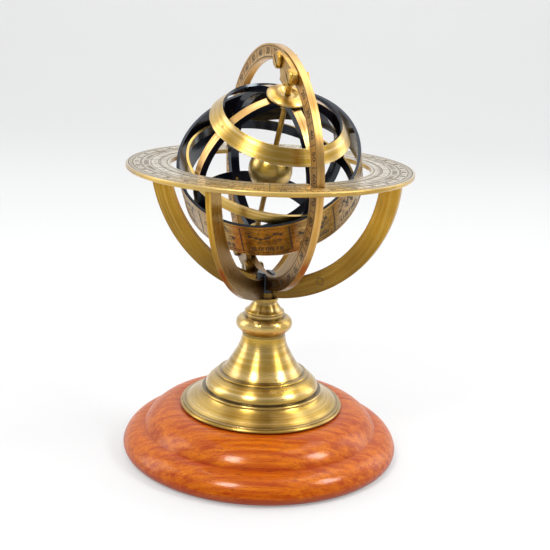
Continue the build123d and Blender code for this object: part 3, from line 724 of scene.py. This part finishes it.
def engrave_horizon():
    """Degree ticks, numbers and rows of small marks between circles on the horizon ring's top."""
    marks = Engraving("horizon_engraving", LATHE, HORIZON_TOP / MM, on_band=False, up=-1)

    def notches(position):
        if position > NOTCH_REACH:
            return []
        half = degrees(NOTCH_HALF / position)
        return [(MERIDIAN_AZIMUTH, half), (MERIDIAN_AZIMUTH + 180, half)]

    for position, width in HORIZON_CIRCLES:
        gaps = notches(position)
        for start, stop in arcs_between(gaps) if gaps else [(0.0, 360.0)]:
            marks.line_round(position, width, start, stop)
    for degree in range(0, 360, 2):
        inner = TICK_CIRCLE if degree % 10 else NUMBER_CIRCLE
        marks.stroke(degree, inner, degree, RIM_CIRCLE, LINE_W)
    for ten in range(36):
        middle = (TICK_CIRCLE + NUMBER_CIRCLE) / 2
        marks.text(str(10 * (ten % 3 + 1)), 10 * ten + 5, middle, HORIZON_NUMBER_HEIGHT)
    cell = 360 / CELLS
    for step in range(CELLS):
        angle = cell * step
        if clear_of(notches(STAR_CIRCLE), angle):
            marks.stroke(angle, STAR_CIRCLE, angle, CALENDAR_CIRCLE, 0.34)
        middle = (CALENDAR_CIRCLE + STAR_CIRCLE) / 2
        draw_cell_marks(marks, angle + cell / 2, middle, notches(STAR_CIRCLE), step)
    ray = 360 / RAYS
    for step in range(RAYS):
        angle = ray * step
        if not clear_of(notches(BORE_CIRCLE), angle):
            continue
        marks.stroke(angle, STAR_INNER_CIRCLE if step % 2 else BORE_CIRCLE, angle, STAR_CIRCLE, LINE_W)
        if step % 2 == 0:
            marks.dot(angle + 5.6, (STAR_CIRCLE + STAR_INNER_CIRCLE) / 2, 0.42)
    for degree in range(0, 360, 3):
        if clear_of(notches(BORE_CIRCLE), degree):
            marks.stroke(degree, COMB_CIRCLE - COMB_TOOTH, degree, COMB_CIRCLE, 0.28)
    marks.build("stand")


def draw_cell_marks(marks, angle, position, gaps, seed):
    """A row of short upright strokes, some slanted or barred, like the worn lettering of a calendar cell."""
    random.seed(4000 + seed)
    spacing, half_height, width = 1.25, 1.1, 0.40
    lean, bar, bar_width = 0.35, 0.7, 0.36
    low, high = position - half_height, position + half_height
    for column in range(-4, 5):
        at = angle + column * spacing
        if not clear_of(gaps, at):
            continue
        kind = random.randrange(4)
        slant = (0.0, lean, 0.0, -lean)[kind]
        marks.stroke(at - slant, low, at + slant, high, width)
        if kind == 2:
            marks.stroke(at, position, at + bar, position, bar_width)


BRACKET_HALF = 13.6         # half angle that each bracket covers on the meridian ring
SCALE_LOW, SCALE_HIGH = 48.7, 53.3
SCALE_LINE_W = 0.32
MERIDIAN_NUMBER_HEIGHT = 3.0
MERIDIAN_HALF_T = 1.6


def engrave_meridian():
    """Cells of ten degrees with numbers that count from each pole, on the face with the brackets."""
    marks = Engraving("meridian_engraving", MERIDIAN, MERIDIAN_HALF_T, on_band=False, up=1, reading=-1)
    brackets = [(POLE_ANGLE, BRACKET_HALF), (POLE_ANGLE + 180, BRACKET_HALF)]
    for position in (SCALE_HIGH, SCALE_LOW):
        for start, stop in arcs_between(brackets):
            marks.line_round(position, SCALE_LINE_W, start, stop)
    for side in (1, -1):
        for pole in (0, 180):
            for ten in range(2, 10):
                angle = POLE_ANGLE + pole + side * 10 * ten
                marks.text(str(10 * ten), angle, (SCALE_LOW + SCALE_HIGH) / 2, MERIDIAN_NUMBER_HEIGHT)
                if ten < 9:
                    edge = angle + side * 5
                    marks.stroke(edge, SCALE_LOW, edge, SCALE_HIGH, 0.34)
    marks.build("meridian")


# Heights on the zodiac band, from its middle circle.
TICK_LOW, TICK_HIGH = -8.8, -7.4
PANEL_LOW, PANEL_HIGH = -7.0, 7.8
FIGURE_HEIGHT, ROW_HEIGHT = 2.4, -5.0
SIGN_WIDTH = 30.0           # degrees from one panel to the next


def engrave_zodiac():
    """Twelve panels with made-up star figures, a row of letter-like marks and degree ticks."""
    marks = Engraving("zodiac_engraving", ZODIAC, ZODIAC_R, on_band=True)
    for position, width in ((ZODIAC_ETCHED_HALF, HAIR_W), (TICK_LOW, 0.40), (TICK_HIGH, HAIR_W)):
        marks.line_round(position, width)
    for degree in range(0, 360, 3):
        marks.stroke(degree, TICK_LOW, degree, TICK_HIGH, 0.26)
    for sign in range(12):
        edge = SIGN_WIDTH * sign
        middle = edge + SIGN_WIDTH / 2
        marks.stroke(edge, PANEL_LOW, edge, PANEL_HIGH, 0.62)
        draw_stars(marks, middle, FIGURE_HEIGHT, sign)
        draw_row(marks, middle, ROW_HEIGHT, sign)
    marks.build("sphere")


def draw_stars(marks, angle, position, seed):
    """Stars joined by lines among short hatching strokes: a made-up figure, different in each panel."""
    random.seed(700 + seed)
    count, half_span = 7, 9.0
    join_width, star_radius = 0.62, 0.85
    stars = []
    for i in range(count):
        across = -half_span + 2 * half_span * i / (count - 1) + random.uniform(-1.0, 1.0)
        stars.append((angle + across, position + random.uniform(-2.8, 3.6)))
    for (angle_a, position_a), (angle_b, position_b) in zip(stars, stars[1:]):
        marks.stroke(angle_a, position_a, angle_b, position_b, join_width)
    for star_angle, star_position in stars:
        marks.dot(star_angle, star_position, star_radius)
    hatches, hatch_width = 34, 0.34
    for _hatch in range(hatches):
        at = angle + random.uniform(-11.0, 11.0)
        level = position + random.uniform(-4.0, 4.0)
        run, rise = random.uniform(0.4, 1.5), random.uniform(-0.5, 0.5)
        marks.stroke(at - run, level - rise, at + run, level + rise, hatch_width)


def draw_row(marks, angle, position, seed):
    """A row of letter-like marks under each figure; none is meant as a real letter."""
    random.seed(90 + seed)
    spacing, half_height = 2.2, 1.3
    post_width, bar_width = 0.52, 0.46
    low, high = position - half_height, position + half_height
    for column in range(-4, 5):
        at = angle + column * spacing
        marks.stroke(at - 0.5, low, at - 0.5, high, post_width)
        bar = position + random.choice((-1.0, 0.0, 1.0))
        marks.stroke(at - 0.5, bar, at + 0.8, bar, bar_width)
        if random.random() < 0.5:
            marks.stroke(at + 0.7, low, at + 0.7, high, bar_width)


ARM_HALF_T = 1.25
ARM_MARK_ANGLE = -60.5      # degrees round the arm from its level direction
ARM_MARK_REACH = 54.3       # distance of the ring's middle from the sphere's centre
ARM_MARK_R = 1.6
ARM_MARK_SIDES = 18


def mark_arm():
    """A faint ring struck in the right cradle arm, near its foot."""
    turning = upright_turning(ARM_AZIMUTHS["cradle_arm_a"], CENTRE)
    marks = Engraving("arm_mark", turning, ARM_HALF_T, on_band=False)
    ring = []
    for i in range(ARM_MARK_SIDES + 1):
        turn = 2 * pi * i / ARM_MARK_SIDES
        across = degrees(ARM_MARK_R * cos(turn) / ARM_MARK_REACH)
        ring.append((ARM_MARK_ANGLE + across, ARM_MARK_REACH + ARM_MARK_R * sin(turn)))
    for here, there in zip(ring, ring[1:]):
        marks.stroke(*here, *there, LINE_W)
    marks.build("stand")


engrave_horizon()
engrave_meridian()
engrave_zodiac()
mark_arm()

# ---- floor and backdrop, in metres ----

GLOW_LOW, GLOW_HIGH = 0.32, 0.79
GLOW_HEIGHT = 1.2
# The far slope on the open sides: distance from the middle, and height.
SLOPE = ((9.5, 0.0), (11.0, 0.15), (12.5, 0.6), (14.0, 1.5))
SLOPE_SIDES = 64


def studio_material():
    """A pale matt surface that gives off a little light of its own, more of it higher up the backdrop."""
    graph = Graph("studio_white")
    place = graph.place()
    cloud = graph.noise(place, scale=3.0, detail=2.0, roughness=0.5)
    base = graph.mix(cloud, (0.375, 0.375, 0.375), (0.395, 0.395, 0.397))
    height = graph.add("SeparateXYZ", {0: place}).outputs[2]
    return graph.finish({
        "Base Color": base,
        "Roughness": 0.6,
        "Specular IOR Level": 0.1,
        "Emission Color": (1.0, 1.0, 1.0, 1.0),
        "Emission Strength": graph.between(height, 0.0, GLOW_HEIGHT, GLOW_LOW, GLOW_HIGH),
    })


def pale_stage(name, rows, material):
    """A smooth sheet through rows of points, which belongs to the stage and isn't part of the object."""
    points = [point for row in rows for point in row]
    width = len(rows[0])
    faces = []
    for i in range(len(rows) - 1):
        for j in range(width - 1):
            a = i * width + j
            faces.append((a, a + 1, a + width + 1, a + width))
    mesh = bpy.data.meshes.new(name)
    mesh.from_pydata(points, [], faces)
    for face in mesh.polygons:
        face.use_smooth = True
    mesh.materials.append(material)
    sheet = bpy.data.objects.new(name, mesh)
    bpy.context.scene.collection.objects.link(sheet)


def studio():
    """A pale floor that curves up into a backdrop, and a low round slope far away on the other sides."""
    half_width, front, wall_y, wall_top, bend = 13.0, -13.0, 1.6, 2.6, 0.7
    profile = [(front, 0.0), (wall_y - bend, 0.0)]
    steps = 14
    for i in range(1, steps + 1):
        turn = pi / 2 * i / steps
        profile.append((wall_y - bend + bend * sin(turn), bend - bend * cos(turn)))
    profile.append((wall_y, wall_top))
    turns = [2 * pi * i / SLOPE_SIDES for i in range(SLOPE_SIDES + 1)]
    slope = []
    for radius, height in SLOPE:
        slope.append([(radius * cos(turn), radius * sin(turn), height) for turn in turns])
    white = studio_material()
    pale_stage("studio_floor", [[(-half_width, y, z), (half_width, y, z)] for y, z in profile], white)
    pale_stage("studio_slope", slope, white)


studio()

# ---- light ----

AIM = Vector((0, 0, (cad_box[0].z + cad_box[1].z) / 2))


def softbox(name, azimuth, elevation, distance, width, height, power):
    """An area light that faces the object: angles in degrees, lengths in metres, power in watts.

    Azimuth 0 is in front, at -Y, and grows to the right."""
    data = bpy.data.lights.new(name, "AREA")
    data.shape = "RECTANGLE"
    data.size, data.size_y = width, height
    data.energy = power
    turn, rise = radians(azimuth), radians(elevation)
    towards = Vector((sin(turn) * cos(rise), -cos(turn) * cos(rise), sin(rise)))
    lamp = bpy.data.objects.new(name, data)
    lamp.location = AIM + towards * distance
    lamp.rotation_mode = "QUATERNION"
    lamp.rotation_quaternion = towards.to_track_quat("Z", "Y")
    bpy.context.scene.collection.objects.link(lamp)


softbox("front_left_box", -31, 48, 0.95, 0.20, 0.28, 5.2)
softbox("front_right_box", 72, 41, 0.95, 0.20, 0.28, 4.4)
softbox("top_box", 160, 74, 1.2, 1.2, 0.8, 7.0)
softbox("left_window", -98, 22, 1.3, 0.5, 1.0, 4.5)
softbox("right_window", 118, 20, 1.4, 0.5, 1.0, 3.2)


SKY_SPREAD = 0.9            # how far from level the sky goes on changing
SKY_DARK, SKY_BRIGHT = 0.06, 1.10


def sky():
    """Pale light from above and behind, darker in front, so that the brass has something to mirror."""
    world = bpy.data.worlds.new("studio_sky")
    world.use_nodes = True
    tree = world.node_tree
    tree.nodes.clear()
    place = tree.nodes.new("ShaderNodeTexCoord")
    parts = tree.nodes.new("ShaderNodeSeparateXYZ")
    back_and_up = tree.nodes.new("ShaderNodeMath")
    ramp = tree.nodes.new("ShaderNodeMapRange")
    for socket, value in enumerate((-SKY_SPREAD, SKY_SPREAD, SKY_DARK, SKY_BRIGHT), start=1):
        ramp.inputs[socket].default_value = value
    background = tree.nodes.new("ShaderNodeBackground")
    background.inputs["Color"].default_value = (0.97, 0.985, 1.0, 1.0)
    output = tree.nodes.new("ShaderNodeOutputWorld")
    tree.links.new(place.outputs["Generated"], parts.inputs[0])
    tree.links.new(parts.outputs["Y"], back_and_up.inputs[0])
    tree.links.new(parts.outputs["Z"], back_and_up.inputs[1])
    tree.links.new(back_and_up.outputs[0], ramp.inputs["Value"])
    tree.links.new(ramp.outputs["Result"], background.inputs["Strength"])
    tree.links.new(background.outputs[0], output.inputs["Surface"])
    bpy.context.scene.world = world


sky()

# ---- camera: lengths in metres, lens and sensor in millimetres ----

CAMERA_PLACE = Vector((0.0, -0.47186, 0.21431))
CAMERA_PITCH = 16.43        # degrees down
CAMERA_YAW = 0.54           # degrees to the right
CAMERA_ROLL = 2.56          # degrees: the camera's right side is high
FRAME_SHARE = 0.92          # the framing, as a share of the reference's horizontal scale
LENS = 76.53 * FRAME_SHARE
CLIP_NEAR, CLIP_FAR = 0.01, 20.0
SENSOR = 36.0
RISE = 0.037                # vertical shift that centres the object


def camera():
    """The camera, turned by its pitch, yaw and roll."""
    data = bpy.data.cameras.new("camera")
    data.sensor_width = SENSOR
    data.lens = LENS
    data.shift_y = RISE
    data.clip_start, data.clip_end = CLIP_NEAR, CLIP_FAR
    pitch, yaw, roll = radians(CAMERA_PITCH), radians(CAMERA_YAW), radians(CAMERA_ROLL)
    forward = Vector((sin(yaw) * cos(pitch), cos(yaw) * cos(pitch), -sin(pitch)))
    level_right = forward.cross(UP).normalized()
    level_up = level_right.cross(forward)
    right = level_right * cos(roll) + level_up * sin(roll)
    up = right.cross(forward)
    rows = Matrix((right, up, -forward)).transposed().to_4x4()
    rows.translation = CAMERA_PLACE
    holder = bpy.data.objects.new("camera", data)
    holder.matrix_world = rows
    bpy.context.scene.collection.objects.link(holder)
    bpy.context.scene.camera = holder


camera()

scene = bpy.context.scene
scene.view_settings.view_transform = "Standard"
scene.view_settings.look = "None"
scene.view_settings.exposure = 0.0
